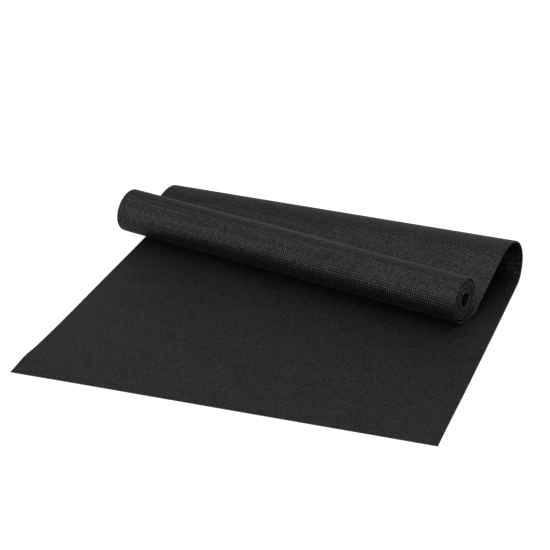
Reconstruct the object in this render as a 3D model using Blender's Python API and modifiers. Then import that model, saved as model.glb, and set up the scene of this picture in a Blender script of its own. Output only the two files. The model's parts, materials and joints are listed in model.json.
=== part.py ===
"""Yoga mat, part unrolled: a laminated sheet that lies flat, folds back over itself and runs down into a tight roll.

The sheet is three layers, an upper foam, a woven scrim and a lower foam. Each layer is cut across at the bend
lines of the fold, so that the fold can open with hinges. X runs across the mat, Y along it and Z up. The origin
is at the middle of the footprint, on the surface that the mat lies on.
"""

import math

import bpy
import numpy as np

# Mat, as cut
MAT_WIDTH = 0.610
MAT_LENGTH = 1.730
FOAM_THICKNESS = 0.00105
SCRIM_THICKNESS = 0.0003
LAYER_GAP = 0.0003
MAT_THICKNESS = 2 * FOAM_THICKNESS + SCRIM_THICKNESS + 2 * LAYER_GAP

# Fold: where each edge leaves the floor, how far it turns and how its radius goes along the turn
FOLD_START = {"left": 0.5967, "right": 0.5002}
FOLD_TURN_DEGREES = {"left": 202.3, "right": 210.2}
FOLD_RADII = {
    "left": (0.0353, 0.0250, 0.0130, 0.0147, 0.0923),
    "right": (0.0544, 0.0279, 0.0305, 0.0519, 0.0915),
}
FOLD_SKEW_DEGREES = 5.23

# Roll: the hole in its middle, how far its outer turn bulges, and how far it has crept to the left along its axis
BORE_RADIUS = 0.0090
OUTER_TURN_BULGE = 0.0020
WINDING_GAP = 0.00047
ROLL_CREEP = 0.0065
REST_GAP = 0.0003

# Bend lines: each carries one hinge, and a seam of this width is cut there and where the run meets the roll
HINGE_COUNT = 3
SEAM_GAP = 0.0004

# How finely the curves are cut into flat facets
STEPS_PER_BEND = 14
WINDING_STEPS = 36
RUN_STEPS = 2
COLUMNS = 2

# How often the roll's radius and place are worked out anew from each other
SETTLING_PASSES = 6

SIDES = ("left", "right")
SIDE_SHARES = {"left": -1.0, "right": 1.0}
FOLD_STEPS = HINGE_COUNT * STEPS_PER_BEND
WINDING_PITCH = MAT_THICKNESS + WINDING_GAP
LAYER_RISE = SCRIM_THICKNESS / 2 + LAYER_GAP + FOAM_THICKNESS / 2

# Layer name: how far its middle lies above the mat's middle, its thickness, colour and roughness
LAYERS = {
    "top_foam": (LAYER_RISE, FOAM_THICKNESS, (0.021, 0.020, 0.020), 0.62),
    "scrim": (0.0, SCRIM_THICKNESS, (0.055, 0.055, 0.060), 0.80),
    "bottom_foam": (-LAYER_RISE, FOAM_THICKNESS, (0.019, 0.018, 0.018), 0.66),
}


def fold_radius(side, share):
    """Radius of the fold at a share of its turn, straight between the listed radii."""
    knots = FOLD_RADII[side]
    last = len(knots) - 1
    place = min(max(share, 0.0), 1.0) * last
    index = min(int(place), last - 1)
    return knots[index] + (knots[index + 1] - knots[index]) * (place - index)


def heading(turn):
    """Direction in which an edge of the sheet runs after it has turned about the skewed fold."""
    skew = math.radians(FOLD_SKEW_DEGREES)
    sideways = -math.sin(skew) * math.cos(skew) * (1.0 - math.cos(turn))
    along = math.sin(skew) ** 2 + math.cos(skew) ** 2 * math.cos(turn)
    return np.array([sideways, along, math.cos(skew) * math.sin(turn)])


def upper_normal(turn):
    """Direction that the mat's upper side faces after the same turn."""
    skew = math.radians(FOLD_SKEW_DEGREES)
    return np.array([-math.sin(skew) * math.sin(turn), -math.cos(skew) * math.sin(turn), math.cos(turn)])


def fold_track(side):
    """Middle of one edge through the fold: a list of (point, heading, normal)."""
    total = math.radians(FOLD_TURN_DEGREES[side])
    point = np.array([SIDE_SHARES[side] * MAT_WIDTH / 2, FOLD_START[side], MAT_THICKNESS / 2])
    track = [(point, heading(0.0), upper_normal(0.0))]
    for step in range(FOLD_STEPS):
        share = (step + 0.5) / FOLD_STEPS
        length = fold_radius(side, share) * total / FOLD_STEPS
        point = point + heading(share * total) * length
        turn = (step + 1) / FOLD_STEPS * total
        track.append((point, heading(turn), upper_normal(turn)))
    return track


def fold_length(side):
    """Length of one edge through the fold."""
    total = math.radians(FOLD_TURN_DEGREES[side])
    shares = [(step + 0.5) / FOLD_STEPS for step in range(FOLD_STEPS)]
    return sum(fold_radius(side, share) for share in shares) * total / FOLD_STEPS


class Roll:
    """The winding: its axis, and where each edge of the run meets it."""

    def __init__(self, folds):
        self.growth = WINDING_PITCH / (2 * math.pi)
        self.slope = {side: math.radians(FOLD_TURN_DEGREES[side]) - math.pi for side in SIDES}
        end_radius = BORE_RADIUS + MAT_THICKNESS / 2
        self.start_radius = end_radius
        for _ in range(SETTLING_PASSES):
            self.settle(folds)
            edge = [FOLD_START[side] + fold_length(side) + self.run[side] for side in SIDES]
            wound = MAT_LENGTH - sum(edge) / len(edge)
            self.start_radius = math.sqrt(end_radius ** 2 + WINDING_PITCH * wound / math.pi)
        self.settle(folds)
        self.turn = (self.start_radius - end_radius) / self.growth
        self.centre = dict(self.meet)
        for _ in range(SETTLING_PASSES):
            self.aim()

    def settle(self, folds):
        """Rest a roll of the present radius on the flat stretch, and find where the run meets it."""
        self.height = max(self.axis_height(side) for side in SIDES)
        self.meet = {}
        self.run = {}
        for side in SIDES:
            point, direction, _ = folds[side][-1]
            drop = point[2] - (self.height - self.start_radius * math.cos(self.slope[side]))
            self.run[side] = drop / -direction[2]
            self.meet[side] = point + direction * self.run[side]

    def axis_height(self, side):
        """Height of the axis at which the lowest facet of the winding clears the flat stretch."""
        slope = self.slope[side]
        turns = [step * 2 * math.pi / WINDING_STEPS for step in range(WINDING_STEPS)]
        reach = max(self.radius(wound) * math.cos(wound - slope) for wound in turns)
        return MAT_THICKNESS + REST_GAP + reach + MAT_THICKNESS / 2

    def radius(self, wound):
        """Radius of the mat's middle after it has wound this far."""
        bulge = OUTER_TURN_BULGE * math.sin(min(wound, math.pi)) ** 2
        return self.start_radius - self.growth * wound + bulge

    def aim(self):
        """Set the axis from the two meeting lines, each moved square to the axis onto its centre."""
        span = self.centre["right"] - self.centre["left"]
        yaw = math.atan2(-span[1], span[0])
        self.axis = np.array([math.cos(yaw), -math.sin(yaw), 0.0])
        self.across = np.array([math.sin(yaw), math.cos(yaw), 0.0])
        for side in SIDES:
            centre = self.meet[side] - self.across * self.start_radius * math.sin(self.slope[side])
            centre[2] = self.height
            self.centre[side] = centre

    def point(self, side, wound):
        """Middle of one edge after it has wound this far: (point, heading, normal)."""
        angle = wound - self.slope[side]
        outward = -self.across * math.sin(angle) - np.array([0.0, 0.0, math.cos(angle)])
        forward = -self.across * math.cos(angle) + np.array([0.0, 0.0, math.sin(angle)])
        middle = (self.centre["left"] + self.centre["right"]) / 2
        settled = middle + self.axis * (SIDE_SHARES[side] * MAT_WIDTH / 2 - ROLL_CREEP)
        ease = min(wound / (2 * math.pi), 1.0)
        ease = ease * ease * (3.0 - 2.0 * ease)
        centre = self.centre[side] * (1.0 - ease) + settled * ease
        return centre + outward * self.radius(wound), forward, outward

    def track(self, side):
        """The whole winding of one edge, in whole facets and one short one at the inner end."""
        step = 2 * math.pi / WINDING_STEPS
        whole = int(self.turn / step)
        angles = [index * step for index in range(whole + 1)]
        if self.turn - angles[-1] > step / 2:
            angles.append(self.turn)
        return [self.point(side, angle) for angle in angles]


def shifted(entry, distance):
    """A track entry moved along its own heading."""
    point, direction, normal = entry
    return point + direction * distance, direction, normal


def stretch_rows(tracks, first, last):
    """Rows of the fold between two steps, each end held back from its seam by half the seam."""
    rows = []
    for step in range(first, last + 1):
        hold = 0.0
        if step == first:
            hold = SEAM_GAP / 2
        if step == last:
            hold = -SEAM_GAP / 2
        rows.append([shifted(tracks[side][step], hold) for side in SIDES])
    return rows


def flat_rows():
    """Rows of the stretch that lies flat, from the near edge to the fold."""
    normal = upper_normal(0.0)
    ahead = heading(0.0)
    height = MAT_THICKNESS / 2
    near = [(np.array([SIDE_SHARES[side] * MAT_WIDTH / 2, 0.0, height]), ahead, normal) for side in SIDES]
    far_y = {side: FOLD_START[side] - SEAM_GAP / 2 for side in SIDES}
    far = [(np.array([SIDE_SHARES[side] * MAT_WIDTH / 2, far_y[side], height]), ahead, normal) for side in SIDES]
    return [near, far]


def run_rows(tracks, roll, first):
    """Rows from the last bend line down the straight run, held back from the roll by half a seam."""
    rows = []
    for step in range(first, FOLD_STEPS + 1):
        hold = SEAM_GAP / 2 if step == first else 0.0
        rows.append([shifted(tracks[side][step], hold) for side in SIDES])
    for step in range(1, RUN_STEPS + 1):
        share = step / RUN_STEPS
        hold = SEAM_GAP / 2 if step == RUN_STEPS else 0.0
        rows.append([shifted(tracks[side][-1], roll.run[side] * share - hold) for side in SIDES])
    return rows


def roll_rows(roll):
    """Rows round the whole winding, the first held back from the run by half a seam."""
    windings = [roll.track(side) for side in SIDES]
    rows = [list(pair) for pair in zip(*windings)]
    rows[0] = [shifted(entry, SEAM_GAP / 2) for entry in rows[0]]
    return rows


def offset_rows(rows, rise):
    """Left and right points of each row, moved off the mat's middle towards its upper side."""
    return [[point + normal * rise for point, _, normal in row] for row in rows]


def footprint_middle(stretches):
    """Middle of the box that all the stretches fill, on the floor."""
    points = []
    for rows in stretches.values():
        for rise in (-MAT_THICKNESS / 2, MAT_THICKNESS / 2):
            for row in offset_rows(rows, rise):
                points.extend(row)
    cloud = np.array(points)
    middle = (cloud.min(axis=0) + cloud.max(axis=0)) / 2
    return np.array([middle[0], middle[1], 0.0])


def finish(name, colour, roughness):
    """Plain finish of one piece."""
    material = bpy.data.materials.new(name)
    material.use_nodes = True
    shader = material.node_tree.nodes["Principled BSDF"]
    shader.inputs["Base Color"].default_value = (*colour, 1.0)
    shader.inputs["Roughness"].default_value = roughness
    shader.inputs["Metallic"].default_value = 0.0
    return material


def layer_piece(name, rows, layer, origin, collection):
    """One layer over one stretch: an open surface lofted between the two edges, made solid."""
    rise, thickness, colour, roughness = LAYERS[layer]
    vertices = []
    for left, right in offset_rows(rows, rise):
        for column in range(COLUMNS + 1):
            share = column / COLUMNS
            vertices.append(left * (1.0 - share) + right * share - origin)
    width = COLUMNS + 1
    faces = []
    for row in range(len(rows) - 1):
        for column in range(COLUMNS):
            corner = row * width + column
            faces.append((corner, corner + 1, corner + 1 + width, corner + width))
    mesh = bpy.data.meshes.new(name)
    mesh.from_pydata([tuple(vertex) for vertex in vertices], [], faces)
    mesh.shade_smooth()
    piece = bpy.data.objects.new(name, mesh)
    collection.objects.link(piece)
    solid = piece.modifiers.new("Thickness", "SOLIDIFY")
    solid.thickness = thickness
    solid.offset = 0.0
    solid.use_even_offset = True
    mesh.materials.append(finish(name, colour, roughness))
    return piece


def hinge_line(tracks, step, origin):
    """The bend line on the mat's lower side: its middle and its direction, left to right."""
    ends = []
    for side in SIDES:
        point, _, normal = tracks[side][step]
        ends.append(point - normal * MAT_THICKNESS / 2 - origin)
    middle = (ends[0] + ends[1]) / 2
    direction = (ends[1] - ends[0]) / np.linalg.norm(ends[1] - ends[0])
    return middle, direction


def hinge_empty(name, middle, direction, parent, collection):
    """Empty on one bend line, with its X axis along it."""
    empty = bpy.data.objects.new(name, None)
    empty.empty_display_size = MAT_WIDTH / 2
    collection.objects.link(empty)
    empty.rotation_euler = (0.0, -math.asin(direction[2]), math.atan2(direction[1], direction[0]))
    empty.location = tuple(middle)
    bpy.context.view_layer.update()
    if parent is not None:
        keep_place(empty, parent)
    return empty


def keep_place(child, parent):
    """Parent an object without moving it."""
    child.parent = parent
    child.matrix_parent_inverse = parent.matrix_world.inverted()
    bpy.context.view_layer.update()


def winding_clearance(stretches):
    """Least gap between turns of the winding, measured on its points."""
    rows = stretches["roll"]
    lower = np.array([row[1] for row in offset_rows(rows, -MAT_THICKNESS / 2)])
    upper = np.array([row[1] for row in offset_rows(rows, MAT_THICKNESS / 2)])
    least = math.inf
    for index in range(len(rows)):
        inner = upper[index + WINDING_STEPS // 2:]
        if len(inner) > 0:
            least = min(least, float(np.linalg.norm(inner - lower[index], axis=1).min()))
    return least


def clear_scene():
    """Remove what the file holds."""
    for thing in list(bpy.data.objects):
        bpy.data.objects.remove(thing, do_unlink=True)


def build():
    """Lay out the stretches, then make every layer of each and hang them on their hinges."""
    clear_scene()
    collection = bpy.data.collections.new("yoga_mat")
    bpy.context.scene.collection.children.link(collection)
    tracks = {side: fold_track(side) for side in SIDES}
    roll = Roll(tracks)
    hinge_steps = [STEPS_PER_BEND // 2 + index * STEPS_PER_BEND for index in range(HINGE_COUNT)]
    stretches = {"flat": flat_rows(), "lip": stretch_rows(tracks, 0, hinge_steps[0])}
    for index in range(HINGE_COUNT - 1):
        stretches[f"bend_{index + 1}"] = stretch_rows(tracks, hinge_steps[index], hinge_steps[index + 1])
    stretches["run"] = run_rows(tracks, roll, hinge_steps[-1])
    stretches["roll"] = roll_rows(roll)
    origin = footprint_middle(stretches)
    parents = {"flat": None, "lip": None}
    parent = None
    for index, name in enumerate(list(stretches)[len(parents):-1]):
        middle, direction = hinge_line(tracks, hinge_steps[index], origin)
        parent = hinge_empty(f"hinge_{index + 1}", middle, direction, parent, collection)
        parents[name] = parent
        print(f"hinge_{index + 1}", [round(float(value), 6) for value in (*middle, *direction)])
    parents["roll"] = parents["run"]
    for name, rows in stretches.items():
        for layer in LAYERS:
            piece = layer_piece(f"{layer}_{name}", rows, layer, origin, collection)
            if parents[name] is not None:
                keep_place(piece, parents[name])
    print("roll radius, mm", round((roll.start_radius + MAT_THICKNESS / 2) * 1000, 3))
    print("turns in the roll", round(roll.turn / (2 * math.pi), 3))
    print("least gap between turns, mm", round(winding_clearance(stretches) * 1000, 3))
    print("origin from the near edge's middle", [round(float(value), 5) for value in origin])
    print("roll axis", [[round(float(value), 5) for value in roll.centre[side] - origin] for side in SIDES])


build()
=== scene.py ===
"""Looks of a yoga mat, part unrolled.

The mat is one laminated sheet: an upper foam, a woven scrim and a lower foam. Every place on the flat mat is known
by its share across the width and its distance from the near edge. MatPath says where such a place lies once the
sheet is folded back and rolled, and each piece is a run of weave cells laid on that path.
"""

import json
import logging
import math
from dataclasses import dataclass, field
from enum import Enum

import bpy
import numpy as np
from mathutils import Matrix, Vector


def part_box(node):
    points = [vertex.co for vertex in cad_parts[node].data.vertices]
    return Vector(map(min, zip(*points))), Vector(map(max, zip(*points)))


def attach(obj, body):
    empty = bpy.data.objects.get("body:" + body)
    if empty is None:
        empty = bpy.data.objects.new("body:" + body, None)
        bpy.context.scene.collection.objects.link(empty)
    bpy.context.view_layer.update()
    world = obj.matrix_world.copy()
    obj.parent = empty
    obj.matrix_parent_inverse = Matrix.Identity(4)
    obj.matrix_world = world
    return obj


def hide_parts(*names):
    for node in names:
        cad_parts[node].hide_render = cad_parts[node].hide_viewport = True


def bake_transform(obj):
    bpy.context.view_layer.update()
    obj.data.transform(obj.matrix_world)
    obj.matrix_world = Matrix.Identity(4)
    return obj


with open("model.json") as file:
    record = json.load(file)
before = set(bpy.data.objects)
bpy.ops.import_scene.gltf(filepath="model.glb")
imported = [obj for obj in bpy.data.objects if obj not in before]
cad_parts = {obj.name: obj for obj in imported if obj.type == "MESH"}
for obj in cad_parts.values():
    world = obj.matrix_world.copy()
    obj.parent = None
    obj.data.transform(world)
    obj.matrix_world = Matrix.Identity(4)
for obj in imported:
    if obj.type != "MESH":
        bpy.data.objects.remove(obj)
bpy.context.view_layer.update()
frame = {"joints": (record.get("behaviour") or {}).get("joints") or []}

LOG = logging.getLogger("yoga_mat")
FULL_TURN = 2 * math.pi
BLACK = (0.0, 0.0, 0.0)
WHITE = (1.0, 1.0, 1.0)
WARM = (1.0, 0.965, 0.93)
COOL = (0.90, 0.88, 1.0)
Triple = tuple[float, float, float]
Array = np.ndarray
Socket = bpy.types.NodeSocket


class Side(Enum):
    """The two long edges of the mat, with the way that each lies from its middle."""

    LEFT = -1.0
    RIGHT = 1.0


class Layer(Enum):
    """The three layers of the laminate, by the name of their material slot."""

    UPPER = "top_foam"
    SCRIM = "scrim"
    LOWER = "bottom_foam"

    @property
    def piece(self) -> str:
        """First words of the names of this layer's pieces."""
        return {Layer.UPPER: "upper_foam", Layer.SCRIM: "scrim_mesh", Layer.LOWER: "lower_foam"}[self]


def near_edge() -> Array:
    """Middle of the mat's near edge, on the floor under the CAD's flat stretch."""
    low, high = (np.array(corner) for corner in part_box("top_foam_flat"))
    return np.array([(low[0] + high[0]) / 2, low[1], 0.0])


def put_in_scene(name: str, data: bpy.types.ID) -> bpy.types.Object:
    """Make an object of a mesh, lamp or camera and link it to the scene.

    Args:
        name: The object's name.
        data: What it is made of.

    Returns:
        The object.
    """
    made = bpy.data.objects.new(name, data)
    bpy.context.scene.collection.objects.link(made)
    return made


def write_attribute(mesh: bpy.types.Mesh, name: str, kind: str, values: Array, domain: str = "POINT") -> None:
    """Write an attribute of a mesh.

    Args:
        mesh: The mesh.
        name: The attribute's name.
        kind: Its type, FLOAT, FLOAT_VECTOR or BOOLEAN.
        values: One value or vector for each point or face.
        domain: POINT or FACE.
    """
    if kind != "BOOLEAN":
        values = values.astype(np.float32)
    channel = "vector" if kind == "FLOAT_VECTOR" else "value"
    mesh.attributes.new(name, kind, domain).data.foreach_set(channel, values.ravel())


@dataclass(frozen=True)
class MatCut:
    """The mat as it was cut, and the cells of its weave, in metres."""

    width: float = 0.610
    length: float = 1.730
    thickness: float = 0.0030
    scrim_thickness: float = 0.0003
    columns: int = 178
    rows: int = 412

    @property
    def column_pitch(self) -> float:
        """Width of one weave cell, across the mat."""
        return self.width / self.columns

    @property
    def row_pitch(self) -> float:
        """Length of one weave cell, along the mat."""
        return self.length / self.rows


@dataclass(frozen=True)
class FoldEdge:
    """How one long edge goes through the fold: where it leaves the floor, its turn and its radii along the turn."""

    start: float
    turn_degrees: float
    radii: tuple[float, ...]

    @property
    def turn(self) -> float:
        """The whole turn, in radians."""
        return math.radians(self.turn_degrees)


@dataclass(frozen=True)
class RollShape:
    """The winding: its hole, the room between its turns, the bulge of its outer turn and its creep to the left."""

    bore_radius: float = 0.0090
    winding_gap: float = 0.00047
    outer_bulge: float = 0.0020
    creep: float = 0.0065
    outer_creep: float = 0.0068
    outer_creep_peak: float = 1.1
    inner_stagger: float = 0.0009
    inner_stagger_rate: float = 0.37
    rest_gap: float = 0.0003


@dataclass(frozen=True)
class Slackness:
    """Small ways in which the flat stretch isn't flat: a lifted corner and edges that aren't dead straight.

    Each of the two ripple waves has its radians in a metre along the mat, its radians over the width and its start.
    """

    corner_lift: float = 0.0024
    corner_along: float = 0.042
    corner_reach: float = 0.026
    corner_splay: float = 0.0020
    corner_splay_along: float = 0.6
    splay_reach: float = 0.15
    right_bow: float = 0.0008
    right_bow_power: int = 4
    right_bow_length: float = 0.5
    edge_bow: float = 0.0005
    edge_bow_along: float = 0.190
    edge_bow_reach: float = 0.070
    near_bow: float = 0.0002
    ripple: float = 0.00035
    ripple_full: float = 0.05
    ripple_end: float = 0.45
    ripple_waves: tuple[Triple, ...] = ((31.0, 3.0, 0.0), (8.0, 9.0, 1.0))


@dataclass
class MatPath:
    """Where the mat's middle surface runs: along the floor, round the fold, down the run and into the roll."""

    cut: MatCut
    folds: dict[Side, FoldEdge]
    skew_degrees: float
    roll: RollShape
    slack: Slackness
    origin: Array
    flat_steps: int = 60
    fold_steps: int = 168
    run_steps: int = 12
    turn_steps: int = 144
    spare_steps: int = 8
    settling_passes: int = 6
    points: dict[Side, Array] = field(default_factory=dict)
    normals: dict[Side, Array] = field(default_factory=dict)
    reach: dict[Side, Array] = field(default_factory=dict)

    def __post_init__(self) -> None:
        """Work out both edges of the path."""
        self.skew = math.radians(self.skew_degrees)
        self.pitch = self.cut.thickness + self.roll.winding_gap
        self.growth = self.pitch / FULL_TURN
        self.slope = {side: self.folds[side].turn - math.pi for side in Side}
        tracks = {side: self.fold_points(side) for side in Side}
        self.settle_roll(tracks)
        self.aim_roll()
        for side in Side:
            flat = np.linspace(0.0, self.folds[side].start, self.flat_steps, endpoint=False)
            floor = np.tile(tracks[side][0], (len(flat), 1))
            floor[:, 1] = flat
            shares = np.arange(1, self.run_steps)[:, None] / self.run_steps
            run = tracks[side][-1] * (1.0 - shares) + self.meet[side] * shares
            wound_points, wound_normals = self.winding(side)
            self.points[side] = np.vstack([floor, tracks[side], run, wound_points])
            turns = np.linspace(0.0, self.folds[side].turn, self.fold_steps + 1)
            up = np.tile(self.upward(np.zeros(1)), (len(flat), 1))
            last = np.tile(self.upward(turns[-1:]), (len(run), 1))
            self.normals[side] = np.vstack([up, self.upward(turns), last, wound_normals])
            steps = np.linalg.norm(np.diff(self.points[side], axis=0), axis=1)
            self.reach[side] = np.concatenate([[0.0], np.cumsum(steps)])

    def heading(self, turn: Array) -> Array:
        """Direction in which an edge runs after a turn about the skewed fold.

        Args:
            turn: Turns in radians.

        Returns:
            One unit vector for each turn.
        """
        sideways = -math.sin(self.skew) * math.cos(self.skew) * (1.0 - np.cos(turn))
        along = math.sin(self.skew) ** 2 + math.cos(self.skew) ** 2 * np.cos(turn)
        return np.stack([sideways, along, math.cos(self.skew) * np.sin(turn)], axis=1)

    def upward(self, turn: Array) -> Array:
        """Unit vectors that the mat's upper side faces after the same turns."""
        sideways = -math.sin(self.skew) * np.sin(turn)
        return np.stack([sideways, -math.cos(self.skew) * np.sin(turn), np.cos(turn)], axis=1)

    def fold_points(self, side: Side) -> Array:
        """Middle of one edge at each station of the fold.

        Args:
            side: Which long edge.

        Returns:
            Points in the mat's own frame, with the near edge at Y 0.
        """
        edge = self.folds[side]
        shares = (np.arange(self.fold_steps) + 0.5) / self.fold_steps
        knots = np.linspace(0.0, 1.0, len(edge.radii))
        lengths = np.interp(shares, knots, edge.radii) * edge.turn / self.fold_steps
        steps = self.heading(shares * edge.turn) * lengths[:, None]
        start = np.array([side.value * self.cut.width / 2, edge.start, self.cut.thickness / 2])
        return np.vstack([start, start + np.cumsum(steps, axis=0)])

    def radius(self, wound: Array) -> Array:
        """Radius of the mat's middle after it has wound this far."""
        bulge = self.roll.outer_bulge * np.sin(np.minimum(wound, math.pi)) ** 2
        return self.start_radius - self.growth * wound + bulge

    def settle_roll(self, tracks: dict[Side, Array]) -> None:
        """Find the roll's radius and height from the length that it holds, and where the run meets it.

        The roll rests on the flat stretch, so half its own sheet and one whole sheet lie below its middle surface.

        Args:
            tracks: The points of the fold on both edges.
        """
        end_radius = self.roll.bore_radius + self.cut.thickness / 2
        self.start_radius = end_radius
        wound = np.linspace(0.0, FULL_TURN, self.turn_steps)
        for _ in range(self.settling_passes):
            reach = max(float((self.radius(wound) * np.cos(wound - self.slope[side])).max()) for side in Side)
            self.height = self.cut.thickness * 1.5 + self.roll.rest_gap + reach
            self.meet = {}
            lengths = []
            for side in Side:
                direction = self.heading(np.array([self.folds[side].turn]))[0]
                tip = tracks[side][-1]
                drop = tip[2] - (self.height - self.start_radius * math.cos(self.slope[side]))
                self.meet[side] = tip + direction * (drop / -direction[2])
                fold = np.linalg.norm(np.diff(tracks[side], axis=0), axis=1).sum()
                lengths.append(self.folds[side].start + fold + drop / -direction[2])
            held = self.cut.length - sum(lengths) / len(lengths)
            self.start_radius = math.sqrt(end_radius ** 2 + self.pitch * held / math.pi)
        self.turn = (self.start_radius - end_radius) / self.growth

    def aim_roll(self) -> None:
        """Set the roll's axis from the two places where the run meets it."""
        self.centre = dict(self.meet)
        for _ in range(self.settling_passes):
            span = self.centre[Side.RIGHT] - self.centre[Side.LEFT]
            yaw = math.atan2(-span[1], span[0])
            self.axis = np.array([math.cos(yaw), -math.sin(yaw), 0.0])
            self.across = np.array([math.sin(yaw), math.cos(yaw), 0.0])
            for side in Side:
                centre = self.meet[side] - self.across * self.start_radius * math.sin(self.slope[side])
                centre[2] = self.height
                self.centre[side] = centre

    def stagger(self, wound: Array) -> Array:
        """How far the turns stand to the left of their neighbours along the roll's axis.

        Args:
            wound: How far the mat has wound, in radians.

        Returns:
            One distance for each. The outer turn stands back most, the inner ones wander a little.
        """
        roll = self.roll
        share = wound / roll.outer_creep_peak
        outer = roll.outer_creep * share * np.exp(1.0 - share)
        inner = roll.inner_stagger * np.sin(np.maximum(wound - FULL_TURN, 0.0) * roll.inner_stagger_rate)
        return outer + inner

    def winding(self, side: Side) -> tuple[Array, Array]:
        """One edge through the whole roll, with a little to spare at its inner end.

        Args:
            side: Which long edge.

        Returns:
            Its points and the directions that the mat's upper side faces there.
        """
        step = FULL_TURN / self.turn_steps
        wound = np.arange(0.0, self.turn + self.spare_steps * step, step)
        angle = wound - self.slope[side]
        outward = -self.across * np.sin(angle)[:, None]
        outward[:, 2] -= np.cos(angle)
        middle = (self.centre[Side.LEFT] + self.centre[Side.RIGHT]) / 2
        settled = middle + self.axis * (side.value * self.cut.width / 2 - self.roll.creep)
        ease = np.minimum(wound / FULL_TURN, 1.0)
        ease = (ease * ease * (3.0 - 2.0 * ease))[:, None]
        centre = self.centre[side] * (1.0 - ease) + settled * ease - self.axis * self.stagger(wound)[:, None]
        return centre + outward * self.radius(wound)[:, None], outward

    def fold_border(self, shares: Array, fold_share: float) -> Array:
        """Distance from the near edge, at each share of the width, of the line at a share of the fold's turn."""
        station = self.flat_steps + round(fold_share * self.fold_steps)
        return self.reach[Side.LEFT][station] * (1.0 - shares) + self.reach[Side.RIGHT][station] * shares

    def roll_border(self, turns: float) -> float:
        """Distance from the near edge to a line that lies this many turns into the roll."""
        station = self.flat_steps + self.fold_steps + self.run_steps + round(turns * self.turn_steps)
        return float(self.reach[Side.LEFT][station] + self.reach[Side.RIGHT][station]) / 2

    def places(self, shares: Array, alongs: Array) -> tuple[Array, Array]:
        """Where places on the flat mat lie on the path.

        Args:
            shares: Shares of the width, from the left edge.
            alongs: Distances from the near edge, along the sheet.

        Returns:
            Points and upper normals, as arrays of (share, along, 3).
        """
        stations = np.arange(len(self.reach[Side.LEFT]), dtype=float)
        points = np.empty((len(shares), len(alongs), 3))
        normals = np.empty_like(points)
        for index, share in enumerate(shares):
            weights = {Side.LEFT: 1.0 - share, Side.RIGHT: share}
            reach = sum(self.reach[side] * weights[side] for side in Side)
            at = np.interp(alongs, reach, stations)
            for laid, edges in ((points, self.points), (normals, self.normals)):
                for axis in range(3):
                    tips = (np.interp(at, stations, edges[side][:, axis]) * weights[side] for side in Side)
                    laid[index, :, axis] = sum(tips)
        normals /= np.linalg.norm(normals, axis=2, keepdims=True)
        points += self.relax(shares[:, None], alongs[None, :])
        return points + self.origin, normals

    def relax(self, share: Array, along: Array) -> Array:
        """Small moves that take the stiffness out of the flat stretch.

        Args:
            share: Shares of the width.
            along: Distances from the near edge.

        Returns:
            One move for each place.
        """
        slack = self.slack
        from_left = share * self.cut.width
        reach = slack.corner_reach
        corner = np.exp(-((along - slack.corner_along) / reach) ** 2 - (from_left / reach) ** 2)
        left = np.exp(-((along - slack.edge_bow_along) / slack.edge_bow_reach) ** 2)
        left = left * np.exp(-from_left / slack.edge_bow_reach)
        right_wave = np.sin(math.pi * np.clip(along / slack.right_bow_length, 0.0, 1.0))
        right = share ** slack.right_bow_power * right_wave
        near = np.exp(-along / slack.edge_bow_reach) * np.sin(math.pi * share) ** 2
        splay = np.exp(-from_left / slack.splay_reach - along / slack.splay_reach)
        wave = math.prod(np.sin(along * a + share * b + start) for a, b, start in slack.ripple_waves)
        calm = np.clip(1.0 - along / slack.ripple_end, 0.0, 1.0)
        ripple = slack.ripple * (1.0 + wave) * calm * np.minimum(along / slack.ripple_full, 1.0)
        move = np.zeros(np.broadcast(share, along).shape + (3,))
        move[..., 0] = slack.edge_bow * left - slack.corner_splay * splay + slack.right_bow * right
        move[..., 1] = -slack.near_bow * near - slack.corner_splay * splay * splay * slack.corner_splay_along
        move[..., 2] = slack.corner_lift * corner + ripple
        return move


@dataclass
class WeaveGrid:
    """Cells laid on the path: every corner and middle of a cell, with the direction of the mat's upper side."""

    path: MatPath
    columns: int
    rows: int
    rim: float = 0.0009

    def __post_init__(self) -> None:
        """Place the corners and the middles of all cells, with a narrow rim of cells along every cut edge."""
        cut = self.path.cut
        share_lines = self.lines_with_rim(1.0, self.columns, self.rim / cut.width)
        along_lines = self.lines_with_rim(cut.length, self.rows, self.rim)
        self.share_middles = (share_lines[1:] + share_lines[:-1]) / 2
        self.along_middles = (along_lines[1:] + along_lines[:-1]) / 2
        self.corners, self.corner_normals, self.corner_flat = self.lay(share_lines, along_lines)
        self.middles, self.middle_normals, self.middle_flat = self.lay(self.share_middles, self.along_middles)
        self.cut_edge = np.ones(self.corners.shape[:2])
        self.cut_edge[1:-1, 1:-1] = 0.0

    @staticmethod
    def lines_with_rim(length: float, cells: int, rim: float) -> Array:
        """Lines between even cells, with one more line close to each end."""
        lines = np.linspace(0.0, length, cells + 1)
        return np.concatenate([[0.0, rim], lines[1:-1], [length - rim, length]])

    def lay(self, shares: Array, alongs: Array) -> tuple[Array, Array, Array]:
        """Lay a grid of flat places on the path.

        Args:
            shares: Shares of the width.
            alongs: Distances from the near edge.

        Returns:
            Points, upper normals, and distances from the left and near edges of the flat mat, in metres.
        """
        points, normals = self.path.places(shares, alongs)
        across, along = np.meshgrid(shares * self.path.cut.width, alongs, indexing="ij")
        return points, normals, np.stack([across, along], axis=2)

    def cells_between(self, first: Array, last: Array) -> Array:
        """Mask of the cells between two lines, which are given by one distance for each column."""
        middles = self.along_middles[None, :]
        return (middles >= first[:, None]) & (middles < last[:, None])


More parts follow.
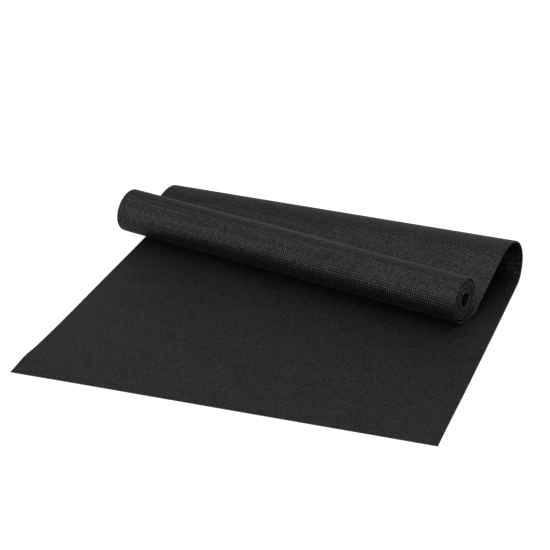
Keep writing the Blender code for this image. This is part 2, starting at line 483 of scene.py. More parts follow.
@dataclass
class SheetMesh:
    """A closed sheet of cells: one face towards the mat's upper side, one towards its lower side, and its walls."""

    grid: WeaveGrid
    cells: Array
    low: float
    high: float
    woven_high: bool = False
    woven_low: bool = False
    rounded: float = 0.0

    def __post_init__(self) -> None:
        """Number the corners and middles in use."""
        columns, rows = self.cells.shape
        self.used = np.zeros((columns + 1, rows + 1), bool)
        for column_shift in (0, 1):
            for row_shift in (0, 1):
                self.used[column_shift:columns + column_shift, row_shift:rows + row_shift] |= self.cells
        self.count = int(self.used.sum())
        self.corner_ids = np.full(self.used.shape, -1)
        self.corner_ids[self.used] = np.arange(self.count)
        self.middle_ids = np.full(self.cells.shape, -1)
        self.middle_ids[self.cells] = np.arange(int(self.cells.sum()))

    def corners_of(self, column: Array, row: Array) -> list[Array]:
        """Corner numbers of cells, round each cell from its near left corner."""
        ids = self.corner_ids
        return [ids[column, row], ids[column + 1, row], ids[column + 1, row + 1], ids[column, row + 1]]

    def surface(self, base: int, middles: int | None, flip: bool) -> list[tuple[int, ...]]:
        """Faces of one side of the sheet.

        Args:
            base: Number of the side's first corner.
            middles: Number of its first middle, or None where the side is smooth.
            flip: Whether the side faces down.

        Returns:
            Four triangles a cell round its middle, or one quad a cell.
        """
        column, row = np.nonzero(self.cells)
        ring = [corner + base for corner in self.corners_of(column, row)]
        if flip:
            ring.reverse()
        if middles is None:
            return list(zip(*(corner.tolist() for corner in ring)))
        middle = self.middle_ids[column, row] + middles
        faces: list[tuple[int, ...]] = []
        for index in range(4):
            following = ring[(index + 1) % 4]
            faces.extend(zip(ring[index].tolist(), following.tolist(), middle.tolist()))
        return faces

    def walls(self) -> list[tuple[int, ...]]:
        """Close the sheet wherever a cell has no neighbour.

        Returns:
            One quad for each open side of a cell, from the upper face down to the lower one.
        """
        padded = np.pad(self.cells, 1)
        missing = {
            (3, 0): ~padded[:-2, 1:-1],
            (1, 2): ~padded[2:, 1:-1],
            (0, 1): ~padded[1:-1, :-2],
            (2, 3): ~padded[1:-1, 2:],
        }
        faces: list[tuple[int, ...]] = []
        for (start, end), gap in missing.items():
            ring = self.corners_of(*np.nonzero(self.cells & gap))
            quad = (ring[end], ring[start], ring[start] + self.count, ring[end] + self.count)
            faces.extend(zip(*(corner.tolist() for corner in quad)))
        return faces

    def build(self, name: str) -> bpy.types.Object:
        """Make the sheet an object.

        Each point knows the way out of the sheet, its place on the flat mat, and whether it lies on a woven side and
        on the mat's skin.

        Args:
            name: The object's name.

        Returns:
            The object, linked to the scene.
        """
        grid = self.grid
        corners, normals = grid.corners[self.used], grid.corner_normals[self.used]
        flat = grid.corner_flat[self.used]
        taken = grid.cut_edge[self.used] * self.rounded
        upper, lower = float(self.high > -self.low), float(self.high < -self.low)
        sides = (
            (self.high, self.high - taken * upper, self.woven_high, upper, 1),
            (self.low, self.low + taken * lower, self.woven_low, lower, -1),
        )
        blocks = []
        for _, heights, is_woven, skin, sign in sides:
            marks = (np.full(self.count, float(is_woven)), np.full(self.count, skin))
            blocks.append((corners + normals * heights[:, None], normals * sign, flat, *marks))
        faces: list[tuple[int, ...]] = []
        start = 2 * self.count
        for side, (rise, _, is_woven, _, sign) in enumerate(sides):
            middles = None
            if is_woven:
                middle, normal = grid.middles[self.cells], grid.middle_normals[self.cells]
                ones = np.ones(len(middle))
                blocks.append((middle + normal * rise, normal * sign, grid.middle_flat[self.cells], ones, ones))
                middles = start
                start += len(middle)
            faces.extend(self.surface(side * self.count, middles, sign < 0))
        surfaces = len(faces)
        faces.extend(self.walls())
        points, outward, flats, woven, skin = (np.concatenate(parts) for parts in zip(*blocks))
        mesh = bpy.data.meshes.new(name)
        mesh.from_pydata(points.tolist(), [], faces)
        write_attribute(mesh, "outward", "FLOAT_VECTOR", outward)
        write_attribute(mesh, "woven", "FLOAT", woven)
        write_attribute(mesh, "skin", "FLOAT", skin)
        write_attribute(mesh, "flat_place", "FLOAT_VECTOR", np.column_stack([flats, np.zeros(len(flats))]))
        write_attribute(mesh, "cut_edge", "BOOLEAN", np.arange(len(faces)) >= surfaces, "FACE")
        loops = np.empty(len(mesh.loops), np.int32)
        mesh.loops.foreach_get("vertex_index", loops)
        mesh.uv_layers.new(name="flat_place_uv").data.foreach_set("uv", flats[loops].astype(np.float32).ravel())
        mesh.shade_flat()
        return put_in_scene(name, mesh)


class NodeTree:
    """Short words for making and joining nodes of one tree."""

    def __init__(self, tree: bpy.types.NodeTree) -> None:
        """Keep the tree."""
        self.tree = tree

    def add(self, kind: str, **settings: object) -> bpy.types.Node:
        """Make a node.

        Args:
            kind: Its type.
            settings: Its properties.

        Returns:
            The node.
        """
        node = self.tree.nodes.new(kind)
        for key, value in settings.items():
            setattr(node, key, value)
        return node

    def join(self, source: Socket, target: Socket) -> None:
        """Link two sockets."""
        self.tree.links.new(source, target)

    def feed(self, node: bpy.types.Node, values: dict[str | int, object]) -> bpy.types.Node:
        """Give a node its inputs.

        Args:
            node: The node.
            values: By name or number of the input, a socket to link or a value to set.

        Returns:
            The node.
        """
        for key, value in values.items():
            if isinstance(value, Socket):
                self.join(value, node.inputs[key])
            else:
                node.inputs[key].default_value = value
        return node

    def math(self, operation: str, *values: object) -> Socket:
        """Output of a Math node on sockets or plain numbers."""
        return self.feed(self.add("ShaderNodeMath", operation=operation), dict(enumerate(values))).outputs[0]

    def vector(self, operation: str, *values: object) -> Socket:
        """Output of a Vector Math node on sockets or plain vectors."""
        return self.feed(self.add("ShaderNodeVectorMath", operation=operation), dict(enumerate(values))).outputs[0]

    def scaled(self, vector: object, by: Socket) -> Socket:
        """A vector, as a socket or plain numbers, times a socket's value."""
        node = self.add("ShaderNodeVectorMath", operation="SCALE")
        return self.feed(node, {0: vector, "Scale": by}).outputs[0]

    def spread(self, value: Socket, by: float) -> Socket:
        """Turn a value about a half into a factor about 1 that spreads this much."""
        return self.math("MULTIPLY_ADD", value, by, 1.0 - by / 2)

    def noise(
        self, place: Socket, scales: Triple, detail: float = 2.0, as_vector: bool = False
    ) -> Socket:
        """Noise that is stretched by its scales.

        Args:
            place: Where the noise is read.
            scales: Waves in a metre, along each axis.
            detail: Detail of the noise.
            as_vector: Whether three values about zero are wanted, and not one about a half.

        Returns:
            The noise.
        """
        values = {"Scale": 1.0, "Detail": detail, "Vector": self.vector("MULTIPLY", place, scales)}
        node = self.feed(self.add("ShaderNodeTexNoise"), values)
        return self.vector("SUBTRACT", node.outputs["Color"], (0.5, 0.5, 0.5)) if as_vector else node.outputs[0]

    def mix(self, share: Socket, low: Triple, high: Triple) -> Socket:
        """Mix two colours: 0 gives the first, 1 the second, and more is brighter still."""
        return self.vector("ADD", self.scaled(tuple(b - a for a, b in zip(low, high)), share), low)

    def bump(self, height: Socket, distance: float, strength: float) -> Socket:
        """Normal bumped by a height, of which 1 stands for the distance in metres."""
        values = {"Strength": strength, "Distance": distance, "Height": height}
        return self.feed(self.add("ShaderNodeBump"), values).outputs[0]


class GeometryGroup(NodeTree):
    """A geometry node group with named inputs, which ends by realizing what it made and setting finishes."""

    def __init__(self, name: str, sizes: tuple[str, ...], finishes: tuple[str, ...]) -> None:
        """Make the group and its sockets.

        Args:
            name: The group's name.
            sizes: Names of its inputs that are lengths.
            finishes: Names of its inputs that are materials.
        """
        super().__init__(bpy.data.node_groups.new(name, "GeometryNodeTree"))
        face = self.tree.interface
        for kind, names in (("Geometry", ("Geometry",)), ("Float", sizes), ("Material", finishes)):
            for socket in names:
                face.new_socket(socket, in_out="INPUT", socket_type=f"NodeSocket{kind}")
        face.new_socket("Geometry", in_out="OUTPUT", socket_type="NodeSocketGeometry")
        self.given = self.add("NodeGroupInput")

    def attribute(self, name: str, kind: str) -> Socket:
        """A named attribute of the geometry."""
        node = self.add("GeometryNodeInputNamedAttribute", data_type=kind)
        return self.feed(node, {"Name": name}).outputs["Attribute"]

    def end(self, geometry: Socket, finishes: dict[str, Socket | bool]) -> bpy.types.NodeTree:
        """Realize the geometry, set its finishes one after the other and send it out.

        Args:
            geometry: The geometry.
            finishes: By the name of a material input, which faces get it, or True for all.

        Returns:
            The finished group.
        """
        last = self.feed(self.add("GeometryNodeRealizeInstances"), {0: geometry}).outputs[0]
        for name, selection in finishes.items():
            values = {"Geometry": last, "Material": self.given.outputs[name], "Selection": selection}
            last = self.feed(self.add("GeometryNodeSetMaterial"), values).outputs[0]
        self.join(last, self.add("NodeGroupOutput").inputs[0])
        return self.tree


def run_group(piece: bpy.types.Object, group: bpy.types.NodeTree, values: dict[str, object]) -> bpy.types.Object:
    """Run a geometry group on a piece and keep the result as a plain mesh.

    Args:
        piece: The object that the group starts from. It is removed.
        group: The geometry group.
        values: Its inputs, by name.

    Returns:
        A new object with the same name and no modifier.
    """
    name = piece.name
    modifier = piece.modifiers.new("tree", "NODES")
    modifier.node_group = group
    for item in group.interface.items_tree:
        if item.item_type == "SOCKET" and item.in_out == "INPUT" and item.name in values:
            modifier[item.identifier] = values[item.name]
    graph = bpy.context.evaluated_depsgraph_get()
    graph.update()
    mesh = bpy.data.meshes.new_from_object(piece.evaluated_get(graph), depsgraph=graph)
    piece.modifiers.clear()
    old = piece.data
    bpy.data.objects.remove(piece, do_unlink=True)
    bpy.data.meshes.remove(old)
    mesh.name = name
    return put_in_scene(name, mesh)


@dataclass(frozen=True)
class WeaveRelief:
    """The raised weave of a foam side: one soft dot in every cell, with grooves between, set by Geometry Nodes."""

    column_pitch: float
    row_pitch: float
    dot_height: float = 0.00036
    groove_depth: float = 0.00026

    def group(self) -> bpy.types.NodeTree:
        """Build the node group.

        Returns:
            The group. It lifts woven points by a rule of their flat place, then sets the two finishes.
        """
        sizes = ("Column pitch", "Row pitch", "Dot height", "Groove depth")
        nodes = GeometryGroup("weave_relief", sizes, ("Foam finish", "Edge finish"))
        given = nodes.given.outputs
        parts = nodes.add("ShaderNodeSeparateXYZ")
        nodes.join(nodes.attribute("flat_place", "FLOAT_VECTOR"), parts.inputs[0])
        waves = []
        for place, pitch in zip(parts.outputs, sizes[:2]):
            phase = nodes.math("MULTIPLY", nodes.math("DIVIDE", place, given[pitch]), FULL_TURN)
            waves.append(nodes.math("MULTIPLY_ADD", nodes.math("COSINE", phase), -0.5, 0.5))
        raised = nodes.math("MULTIPLY", nodes.math("MULTIPLY", *waves), given["Dot height"])
        rise = nodes.math("SUBTRACT", raised, given["Groove depth"])
        rise = nodes.math("MULTIPLY", rise, nodes.attribute("woven", "FLOAT"))
        offset = nodes.scaled(nodes.attribute("outward", "FLOAT_VECTOR"), rise)
        lifted = nodes.feed(nodes.add("GeometryNodeSetPosition"), {"Geometry": given["Geometry"], "Offset": offset})
        cut = nodes.attribute("cut_edge", "BOOLEAN")
        return nodes.end(lifted.outputs[0], {"Foam finish": True, "Edge finish": cut})


@dataclass(frozen=True)
class YarnEnds:
    """Ends of the scrim's polyester yarns, which show as specks along the cut edges."""

    radius: float = 0.00016
    length: float = 0.0007
    sides: int = 6

    def group(self) -> bpy.types.NodeTree:
        """Build the node group that stands a short yarn on every point.

        Returns:
            The group, with named inputs for the yarn's sizes and finish.
        """
        nodes = GeometryGroup("yarn_ends", ("Yarn radius", "Yarn length"), ("Yarn finish",))
        given = nodes.given.outputs
        sizes = {"Vertices": self.sides, "Radius": given["Yarn radius"], "Depth": given["Yarn length"]}
        yarn = nodes.feed(nodes.add("GeometryNodeMeshCylinder", fill_type="TRIANGLE_FAN"), sizes)
        turn = nodes.add("FunctionNodeAlignRotationToVector", axis="Z")
        nodes.feed(turn, {"Vector": nodes.attribute("outward", "FLOAT_VECTOR")})
        parts = {"Points": given["Geometry"], "Instance": yarn.outputs["Mesh"], "Rotation": turn.outputs[0]}
        stand = nodes.feed(nodes.add("GeometryNodeInstanceOnPoints"), parts)
        return nodes.end(stand.outputs[0], {"Yarn finish": True})


def start_material(name: str) -> tuple[bpy.types.Material, NodeTree, bpy.types.Node]:
    """Make a material with nodes.

    Args:
        name: The material's name.

    Returns:
        The material, its nodes and its Principled shader.
    """
    material = bpy.data.materials.new(name)
    material.use_nodes = True
    return material, NodeTree(material.node_tree), material.node_tree.nodes["Principled BSDF"]


@dataclass(frozen=True)
class FoamFinish:
    """Foamed vinyl with a soft satin shine: dot tops painted lighter as painted highlight on a ground painted near
    black as painted shade in the grooves, streaked, with fine pores.
    """

    name: str
    column_pitch: float
    row_pitch: float
    # Painted light: the dot tops carry a painted highlight and the grooves between the dots a painted shade.
    painted_highlight_colour: Triple = (0.022, 0.020, 0.018)
    painted_shade_colour: Triple = (0.0030, 0.0028, 0.0029)
    roughness: float = 0.31
    roughness_spread: float = 0.16
    ior: float = 1.75
    shine_tint: Triple = (1.0, 0.955, 0.915)
    ground_shine: float = 0.13
    top_shine: float = 0.86
    sheen: float = 0.10
    sheen_roughness: float = 0.35
    sheen_tint: Triple = (0.80, 0.72, 1.0)
    dot_sharpness: float = 1.1
    row_depth: float = 0.62
    column_wander: float = 0.00038
    dot_spread: float = 0.8
    streak_spread: float = 1.05
    streak_scales: Triple = (9.0, 150.0, 1.0)
    patch_spread: float = 0.3
    patch_scale: float = 14.0
    drift: float = 0.0012
    drift_scales: Triple = (160.0, 160.0, 1.0)
    pore_scale: float = 1500.0
    pore_spread: float = 0.7
    pore_depth: float = 0.12
    bump_height: float = 0.0003

    def material(self) -> bpy.types.Material:
        """Build the material.

        Returns:
            A Principled material with procedural colour, shine, roughness and bump.
        """
        material, nodes, shader = start_material(self.name)
        place = nodes.add("ShaderNodeUVMap", uv_map="flat_place_uv").outputs[0]
        drift = nodes.noise(place, self.drift_scales, 1.0, True)
        drift = nodes.vector("MULTIPLY", drift, (self.drift, self.drift, 0.0))
        dot = self.dots(nodes, nodes.vector("ADD", place, drift))
        objects = nodes.add("ShaderNodeTexCoord").outputs["Object"]
        pores = nodes.noise(objects, (self.pore_scale,) * 3)
        # The dot mask paints shade into the grooves and a highlight onto the dot tops; the wear and pore factors add
        # random tone on top.
        level = nodes.math("MULTIPLY", dot, self.wear(nodes, place, objects))
        level = nodes.math("MULTIPLY", level, nodes.spread(pores, self.pore_spread))
        height = nodes.math("MULTIPLY_ADD", pores, self.pore_depth, dot)
        lowest = self.roughness - self.roughness_spread / 2
        values = {
            "Base Color": nodes.mix(level, self.painted_shade_colour, self.painted_highlight_colour),
            "Specular IOR Level": nodes.math(
                "MULTIPLY_ADD", level, self.top_shine - self.ground_shine, self.ground_shine
            ),
            "IOR": self.ior,
            "Specular Tint": (*self.shine_tint, 1.0),
            "Sheen Weight": self.sheen,
            "Sheen Roughness": self.sheen_roughness,
            "Sheen Tint": (*self.sheen_tint, 1.0),
            "Roughness": nodes.math("MULTIPLY_ADD", pores, self.roughness_spread, lowest),
            "Normal": nodes.bump(height, self.bump_height, 1.0),
        }
        nodes.feed(shader, values)
        return material

    def dots(self, nodes: NodeTree, place: Socket) -> Socket:
        """One soft dot in every cell of the weave.

        Args:
            nodes: The material's nodes.
            place: Place on the flat mat, in metres.

        Returns:
            1 in the middle of a dot and 0 along the grooves between columns. Every second row sways to the side.
        """
        parts = nodes.add("ShaderNodeSeparateXYZ")
        nodes.join(place, parts.inputs[0])
        across, along = parts.outputs[0], parts.outputs[1]
        sway = nodes.math("SINE", nodes.math("MULTIPLY", along, math.pi / self.row_pitch))
        across = nodes.math("MULTIPLY_ADD", sway, self.column_wander, across)
        column = nodes.math("POWER", self.wave(nodes, across, self.column_pitch, 1.0), self.dot_sharpness)
        return nodes.math("MULTIPLY", column, self.wave(nodes, along, self.row_pitch, self.row_depth))

    @staticmethod
    def wave(nodes: NodeTree, place: Socket, pitch: float, depth: float) -> Socket:
        """A wave that is 1 in the middle of each cell and dips by its depth between cells."""
        turned = nodes.math("COSINE", nodes.math("MULTIPLY", place, FULL_TURN / pitch))
        return nodes.math("MULTIPLY_ADD", turned, -depth / 2, 1.0 - depth / 2)

    def wear(self, nodes: NodeTree, place: Socket, objects: Socket) -> Socket:
        """How much paler some dots, rows and patches are than others.

        Args:
            nodes: The material's nodes.
            place: Place on the flat mat, in metres.
            objects: Place in the room, in metres.

        Returns:
            A factor about 1.
        """
        cell = nodes.vector("DIVIDE", place, (self.column_pitch, self.row_pitch, 1.0))
        chance = nodes.add("ShaderNodeTexWhiteNoise", noise_dimensions="2D")
        nodes.feed(chance, {"Vector": nodes.vector("FLOOR", cell)})
        single = nodes.spread(chance.outputs["Value"], self.dot_spread)
        streak = nodes.spread(nodes.noise(place, self.streak_scales), self.streak_spread)
        patch = nodes.spread(nodes.noise(objects, (self.patch_scale,) * 3), self.patch_spread)
        return nodes.math("MULTIPLY", single, nodes.math("MULTIPLY", streak, patch))


@dataclass(frozen=True)
class EdgeFinish:
    """Cut face of the foam: a plain lighter band with open cells, painted near black where it rounds into the skin, as
    painted shade in the gaps between turns.
    """

    name: str
    colour: Triple = (0.120, 0.110, 0.110)
    skin_shade_share: float = 0.02
    skin_shade_power: float = 1.5
    shine: float = 0.25
    cell_scale: float = 2400.0
    cell_spread: float = 0.9
    least_roughness: float = 0.62
    roughness_spread: float = 0.3
    bump_height: float = 0.0001
    bump_share: float = 0.6

    def material(self) -> bpy.types.Material:
        """Build the material.

        Returns:
            A Principled material with procedural cells.
        """
        material, nodes, shader = start_material(self.name)
        objects = nodes.add("ShaderNodeTexCoord").outputs["Object"]
        cells = nodes.feed(nodes.add("ShaderNodeTexVoronoi"), {"Scale": self.cell_scale, "Vector": objects})
        cell = cells.outputs["Distance"]
        skin = nodes.add("ShaderNodeAttribute", attribute_name="skin").outputs["Fac"]
        # Painted shade: the cut face darkens to near black towards the skin, which paints dark lines in the gaps
        # between the roll's turns.
        painted_gap_shade = nodes.math("MULTIPLY_ADD", nodes.math("POWER", skin, self.skin_shade_power), self.skin_shade_share - 1.0, 1.0)
        level = nodes.math("MULTIPLY", painted_gap_shade, nodes.spread(cell, self.cell_spread))
        values = {
            "Specular IOR Level": self.shine,
            "Base Color": nodes.mix(level, BLACK, self.colour),
            "Roughness": nodes.math("MULTIPLY_ADD", cell, self.roughness_spread, self.least_roughness),
            "Normal": nodes.bump(cell, self.bump_height, self.bump_share),
        }
        nodes.feed(shader, values)
        return material


@dataclass(frozen=True)
class YarnFinish:
    """Grey polyester yarn of the scrim, with the fine twist of its filaments."""

    name: str
    colour: Triple = (0.060, 0.060, 0.064)
    shine: float = 0.4
    filament_scale: float = 1800.0
    filament_twist: float = 3.0
    filament_spread: float = 0.6
    least_roughness: float = 0.5
    roughness_spread: float = 0.2

    def material(self) -> bpy.types.Material:
        """Build the material.

        Returns:
            A Principled material with procedural filaments.
        """
        material, nodes, shader = start_material(self.name)
        objects = nodes.add("ShaderNodeTexCoord").outputs["Object"]
        wave = nodes.add("ShaderNodeTexWave", wave_type="BANDS", bands_direction="DIAGONAL")
        nodes.feed(wave, {"Scale": self.filament_scale, "Distortion": self.filament_twist, "Vector": objects})
        filaments = wave.outputs["Fac"]
        values = {
            "Specular IOR Level": self.shine,
            "Base Color": nodes.scaled(self.colour, nodes.spread(filaments, self.filament_spread)),
            "Roughness": nodes.math("MULTIPLY_ADD", filaments, self.roughness_spread, self.least_roughness),
        }
        nodes.feed(shader, values)
        return material


class FoldEnd(Enum):
    """The two ends of the fold, by the share of its turn."""

    START = 0.0
    LAST = 1.0


Line = FoldEnd | tuple[str, ...] | float | None


@dataclass(frozen=True)
class Stretch:
    """One stretch of the mat: its lines of start and end, what it rides on and the CAD stretch it stands for.

    A line is an end of the fold, the middle between two bend lines, a distance, or None for the mat's own end.
    """

    name: str
    first: Line
    last: Line
    bodies: tuple[str, ...]
    node: str
    held: str = "folded"
    joint: str = ""
    fine: bool = True


@dataclass
class YogaMat:
    """The whole mat, laid out stretch by stretch and layer by layer."""

    cut: MatCut = field(default_factory=MatCut)
    roll: RollShape = field(default_factory=RollShape)
    slack: Slackness = field(default_factory=Slackness)
    skew_degrees: float = 5.23
    left_fold: FoldEdge = FoldEdge(0.5967, 202.3, (0.0353, 0.0250, 0.0130, 0.0147, 0.0923))
    right_fold: FoldEdge = FoldEdge(0.5002, 210.2, (0.0544, 0.0279, 0.0305, 0.0519, 0.0915))
    core_columns: int = 12
    core_row_share: int = 3
    outer_turns: float = 1.06
    fine_rounding: float = 0.00055
    coarse_rounding: float = 0.00040
    blend_share: float = 1.10
    blend_column_step: int = 8
    crossing_steps: int = 400
    crossings: dict[tuple[str, int], Array] = field(default_factory=dict)

    def __post_init__(self) -> None:
        """Set the path on the CAD's flat stretch, then make the cells and the finishes."""
        folds = {Side.LEFT: self.left_fold, Side.RIGHT: self.right_fold}
        self.path = MatPath(self.cut, folds, self.skew_degrees, self.roll, self.slack, near_edge())
        self.fine = WeaveGrid(self.path, self.cut.columns, self.cut.rows)
        self.coarse = WeaveGrid(self.path, self.core_columns, self.cut.rows * self.core_row_share)
        pitches = (self.cut.column_pitch, self.cut.row_pitch)
        self.relief = WeaveRelief(*pitches)
        self.relief_group = self.relief.group()
        self.yarns = YarnEnds()
        self.yarn_group = self.yarns.group()
        foams = (Layer.UPPER, Layer.LOWER)
        self.foams = {layer: FoamFinish(f"{layer.piece}_finish", *pitches).material() for layer in foams}
        self.edge = EdgeFinish("cut_foam_finish").material()
        self.yarn = YarnFinish("scrim_yarn_finish").material()

    def stretches(self) -> list[Stretch]:
        """The stretches in order, from the near edge to the middle of the roll.

        Returns:
            Six stretches. Where the mat crosses a bend line, a stretch lists the two bodies that meet there.
        """
        outer = self.path.roll_border(self.outer_turns)
        middles = [("fold_1", "fold_2"), ("fold_2", "fold_3")]
        lines = [FoldEnd.START, *middles, FoldEnd.LAST]
        bodies = [("root", "bend_1"), ("bend_1", "bend_2"), ("bend_2", "roll")]
        folds = [
            Stretch(f"fold_{index + 1}", lines[index], lines[index + 1], bodies[index], node, joint=f"fold_{index + 1}")
            for index, node in enumerate(("lip", "bend_1", "bend_2"))
        ]
        return [
            Stretch("flat", None, FoldEnd.START, ("root",), "flat", "laid"),
            *folds,
            Stretch("outer_turn", FoldEnd.LAST, outer, ("roll",), "run"),
            Stretch("inner_turns", outer, None, ("roll",), "roll", fine=False),
        ]

    def line(self, grid: WeaveGrid, value: Line) -> Array:
        """Distances of a line across the mat from the near edge.

        Args:
            grid: The cells that the line is for.
            value: The line, or None for the mat's far end.

        Returns:
            One distance for each column of cells.
        """
        shares = grid.share_middles
        if isinstance(value, tuple):
            return sum(self.crossing(shares, joint) for joint in value) / len(value)
        if isinstance(value, FoldEnd):
            return self.path.fold_border(shares, value.value)
        return np.full(len(shares), self.cut.length if value is None else value)

    def ends(self, grid: WeaveGrid, stretch: Stretch) -> tuple[Array, Array]:
        """Distances of a stretch's first and last line from the near edge, one for each column of cells."""
        return self.line(grid, 0.0 if stretch.first is None else stretch.first), self.line(grid, stretch.last)

    def crossing(self, shares: Array, joint_name: str) -> Array:
        """Where each column of cells passes a bend line.

        Args:
            shares: Shares of the width, from the left edge.
            joint_name: The joint whose axis is the bend line.

        Returns:
            One distance from the near edge for each share.
        """
        key = (joint_name, len(shares))
        if key not in self.crossings:
            pivot, axis = self.bend_line(joint_name)
            first, last = (self.path.fold_border(shares, end.value) for end in FoldEnd)
            alongs = np.linspace(first.min(), last.max(), self.crossing_steps)
            places, _ = self.path.places(shares, alongs)
            away = np.linalg.norm(np.cross(places - pivot, axis), axis=2)
            away[(alongs < first[:, None]) | (alongs > last[:, None])] = np.inf
            self.crossings[key] = alongs[away.argmin(axis=1)]
        return self.crossings[key]

    @staticmethod
    def bend_line(joint_name: str) -> tuple[Array, Array]:
        """A point on the axis of one of the frame's joints, and the axis."""
        joint = next(item for item in frame["joints"] if item["name"] == joint_name)
        return np.array(joint["pos_m"]), np.array(joint["axis"])

    def layer_sheet(self, stretch: Stretch, layer: Layer) -> bpy.types.Object:
        """Make one layer over one stretch.

        Args:
            stretch: The stretch.
            layer: The layer.

        Returns:
            The finished object.
        """
        name = f"{layer.piece}_{stretch.name}"
        half, web = self.cut.thickness / 2, self.cut.scrim_thickness / 2
        if layer is Layer.SCRIM:
            cells = self.coarse.cells_between(*self.ends(self.coarse, stretch))
            return self.dress_scrim(SheetMesh(self.coarse, cells, -web, web).build(name), stretch)
        grid = self.fine if stretch.fine else self.coarse
        sheet = SheetMesh(
            grid,
            grid.cells_between(*self.ends(grid, stretch)),
            *{Layer.UPPER: (web, half), Layer.LOWER: (-half, -web)}[layer],
            woven_high=stretch.fine and layer is Layer.UPPER,
            woven_low=stretch.fine and layer is Layer.LOWER,
            rounded=self.fine_rounding if stretch.fine else self.coarse_rounding,
        )
        values = {
            "Column pitch": self.relief.column_pitch,
            "Row pitch": self.relief.row_pitch,
            "Dot height": self.relief.dot_height,
            "Groove depth": self.relief.groove_depth,
            "Foam finish": self.foams[layer],
            "Edge finish": self.edge,
        }
        return run_group(sheet.build(name), self.relief_group, values)

    def dress_scrim(self, web: bpy.types.Object, stretch: Stretch) -> bpy.types.Object:
        """Give the scrim its finish and stand a yarn end at every cell along its cut edges.

        Args:
            web: The thin sheet of the scrim.
            stretch: The stretch that it covers.

        Returns:
            The web and its yarn ends as one object.
        """
        web.data.materials.append(self.yarn)
        places, outs = self.edge_points(stretch)
        cloud = bpy.data.meshes.new("yarn_points")
        cloud.from_pydata(places.tolist(), [], [])
        write_attribute(cloud, "outward", "FLOAT_VECTOR", outs)
        values = {"Yarn radius": self.yarns.radius, "Yarn length": self.yarns.length, "Yarn finish": self.yarn}
        yarns = run_group(put_in_scene("yarn_points", cloud), self.yarn_group, values)
        with bpy.context.temp_override(active_object=web, selected_editable_objects=[web, yarns]):
            bpy.ops.object.join()
        web.data.shade_flat()
        return web

    def edge_points(self, stretch: Stretch) -> tuple[Array, Array]:
        """Where the scrim's yarns end along the cut edges of a stretch.

        Args:
            stretch: The stretch.

        Returns:
            Points on the edges, and the direction out of the mat at each.
        """
        corners = self.fine.corners
        cells = self.fine.cells_between(*self.ends(self.fine, stretch))
        places, outs = [], []
        for column, beside in ((0, 1), (-1, -2)):
            rows = np.nonzero(cells[column])[0]
            places.append(corners[column, rows])
            outs.append(corners[column, rows] - corners[beside, rows])
        for row, beside, is_cut in ((0, 1, stretch.first is None), (-1, -2, stretch.last is None)):
            if is_cut:
                places.append(corners[:, row])
                outs.append(corners[:, row] - corners[:, beside])
        outward = np.vstack(outs)
        return np.vstack(places), outward / np.linalg.norm(outward, axis=1, keepdims=True)

    def flat_length(self, stretch: Stretch) -> float:
        """Mean length of a stretch along the flat mat."""
        first, last = self.ends(self.fine, stretch)
        return float((last - first).mean())

    def attach(self, piece: bpy.types.Object, stretch: Stretch, layer: Layer) -> None:
        """Attach a piece that doesn't bend to its body, bake the place of one that bends, and hide the CAD stretch that
        it stands for.

        Args:
            piece: The finished object.
            stretch: The stretch that it covers.
            layer: Its layer.
        """
        if stretch.joint:
            start, end = self.blend_zone(piece, stretch)
            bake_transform(piece)
        else:
            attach(piece, stretch.bodies[0])
        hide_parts(f"{layer.value}_{stretch.node}")
        self.flat_length(stretch)

    def blend_zone(self, piece: bpy.types.Object, stretch: Stretch) -> tuple[tuple[float, ...], tuple[float, ...]]:
        """Zone about a bend line in which a stretch bends, short of both its ends.

        Args:
            piece: The object that bends.
            stretch: Its stretch, with the joint.

        Returns:
            The zone's start and end, on a line square to the joint's axis.
        """
        pivot, axis = self.bend_line(stretch.joint)
        shares = self.fine.share_middles
        first, last = self.ends(self.fine, stretch)
        middle = len(shares) // 2
        _, normals = self.path.places(shares[middle:middle + 1], np.array([(first + last)[middle] / 2]))
        ahead = np.cross(normals[0, 0], axis)
        ahead /= np.linalg.norm(ahead)
        margin = self.cut.row_pitch / 2
        reaches = []
        for line in (first + margin, last - margin):
            columns = range(0, len(shares), self.blend_column_step)
            tips = [self.path.places(shares[i:i + 1], line[i:i + 1])[0][0] for i in columns]
            reaches.append((np.vstack(tips) - pivot) @ ahead)
        if reaches[0].mean() > reaches[1].mean():
            ahead, reaches = -ahead, [-reach for reach in reaches]
        nearest, furthest = reaches[0].max(), reaches[1].min()
        LOG.info("%s bends from %.1f mm to %.1f mm", piece.name, nearest * 1000, furthest * 1000)
        start, end = (pivot + ahead * reach * self.blend_share for reach in (nearest, furthest))
        return tuple(start), tuple(end)

    def build(self) -> None:
        """Make and attach every layer of every stretch."""
        for stretch in self.stretches():
            for layer in Layer:
                piece = self.layer_sheet(stretch, layer)
                self.attach(piece, stretch, layer)
                LOG.info("%s: %d faces", piece.name, len(piece.data.polygons))


@dataclass(frozen=True)
class Softbox:
    """One soft lamp that faces the mat. Its azimuth is counted from the near edge, towards the right."""

    name: str
    azimuth_degrees: float
    elevation_degrees: float
    radiance: float
    colour: Triple = WHITE
    size: tuple[float, float] = (1.5, 1.5)
    distance: float = 3.2

    def build(self) -> None:
        """Hang the lamp."""
        data = bpy.data.lights.new(self.name, "AREA")
        data.shape = "RECTANGLE"
        data.size, data.size_y = self.size
        data.energy = self.radiance * math.pi * self.size[0] * self.size[1]
        data.color = self.colour
        azimuth, elevation = math.radians(self.azimuth_degrees), math.radians(self.elevation_degrees)
        level = math.cos(elevation)
        away = Vector((math.sin(azimuth) * level, -math.cos(azimuth) * level, math.sin(elevation)))
        lamp = put_in_scene(self.name, data)
        lamp.location = away * self.distance
        lamp.rotation_euler = (-away).to_track_quat("-Z", "Y").to_euler()


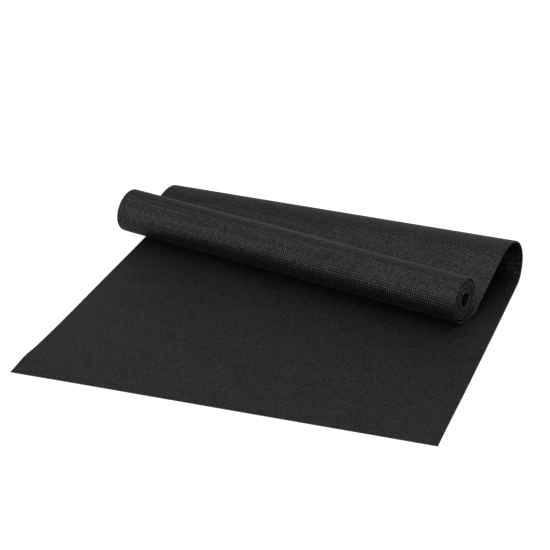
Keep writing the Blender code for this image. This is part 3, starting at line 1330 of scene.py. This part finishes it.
@dataclass(frozen=True)
class Studio:
    """Pale floor, soft light and the photograph's camera."""

    camera_from_near_edge: Triple = (0.72771, -1.88248, 1.17146)
    elevation_degrees: float = 25.7416
    azimuth_degrees: float = 18.9195
    focal_share: float = 1730.6 / 550
    sensor_width: float = 36.0
    floor_reach: float = 12.0
    floor_drop: float = 0.0002
    floor_grey: float = 0.80
    floor_roughness: float = 0.9
    floor_white: float = 0.86
    ambient: float = 0.22
    softboxes: tuple[Softbox, ...] = (
        Softbox("front_low_softbox", 0.0, 12.0, 0.92, WARM),
        Softbox("front_softbox", 0.0, 35.0, 0.24, WARM),
        Softbox("top_softbox", 0.0, 88.0, 1.15, WARM),
        Softbox("right_top_softbox", 90.0, 60.0, 0.90),
        Softbox("right_softbox", 90.0, 30.0, 0.18, size=(1.5, 2.2)),
        Softbox("front_left_low_softbox", -45.0, 12.0, 0.85, WARM),
        Softbox("front_left_softbox", -45.0, 35.0, 0.54, WARM),
        Softbox("front_left_top_softbox", -45.0, 60.0, 0.98, WARM),
        Softbox("left_low_softbox", -90.0, 12.0, 0.43),
        Softbox("back_low_softbox", 180.0, 11.0, 0.14, COOL, (3.6, 1.3)),
    )

    def camera(self) -> None:
        """Set the camera from the mat's near edge."""
        data = bpy.data.cameras.new("photograph")
        data.sensor_width = self.sensor_width
        data.lens = self.focal_share * self.sensor_width
        camera = put_in_scene("photograph", data)
        camera.location = near_edge() + np.array(self.camera_from_near_edge)
        camera.rotation_euler = (math.radians(90.0 - self.elevation_degrees), 0.0, math.radians(self.azimuth_degrees))
        bpy.context.scene.camera = camera

    def floor(self) -> None:
        """Lay the pale floor, which looks white to the camera and keeps the mat's shadow."""
        mesh = bpy.data.meshes.new("floor")
        corners = ((-1, -1), (1, -1), (1, 1), (-1, 1))
        mesh.from_pydata([(x * self.floor_reach, y * self.floor_reach, 0.0) for x, y in corners], [], [(0, 1, 2, 3)])
        floor = put_in_scene("floor", mesh)
        floor.location = (0.0, 0.0, -self.floor_drop)
        material, nodes, shader = start_material("pale_floor")
        seen = nodes.add("ShaderNodeLightPath").outputs["Is Camera Ray"]
        values = {
            "Base Color": (*(self.floor_grey,) * 3, 1.0),
            "Roughness": self.floor_roughness,
            "Specular IOR Level": 0.0,
            "Emission Color": (*WHITE, 1.0),
            "Emission Strength": nodes.math("MULTIPLY", seen, self.floor_white),
        }
        nodes.feed(shader, values)
        mesh.materials.append(material)

    def world(self) -> None:
        """Make the backdrop white to the camera and a plain soft grey to the light."""
        world = bpy.data.worlds.new("studio")
        bpy.context.scene.world = world
        world.use_nodes = True
        nodes = NodeTree(world.node_tree)
        seen = nodes.add("ShaderNodeLightPath").outputs["Is Camera Ray"]
        strength = nodes.math("MULTIPLY_ADD", seen, 1.0 - self.ambient, self.ambient)
        nodes.feed(world.node_tree.nodes["Background"], {"Color": (*WHITE, 1.0), "Strength": strength})

    def build(self) -> None:
        """Set up floor, world, lamps and camera."""
        self.floor()
        self.world()
        for softbox in self.softboxes:
            softbox.build()
        self.camera()
        bpy.context.scene.view_settings.view_transform = "Standard"


def main() -> None:
    """Build the studio and the mat."""
    logging.basicConfig(level=logging.INFO, format="%(message)s")
    Studio().build()
    YogaMat().build()


if __name__ == "__main__":
    main()
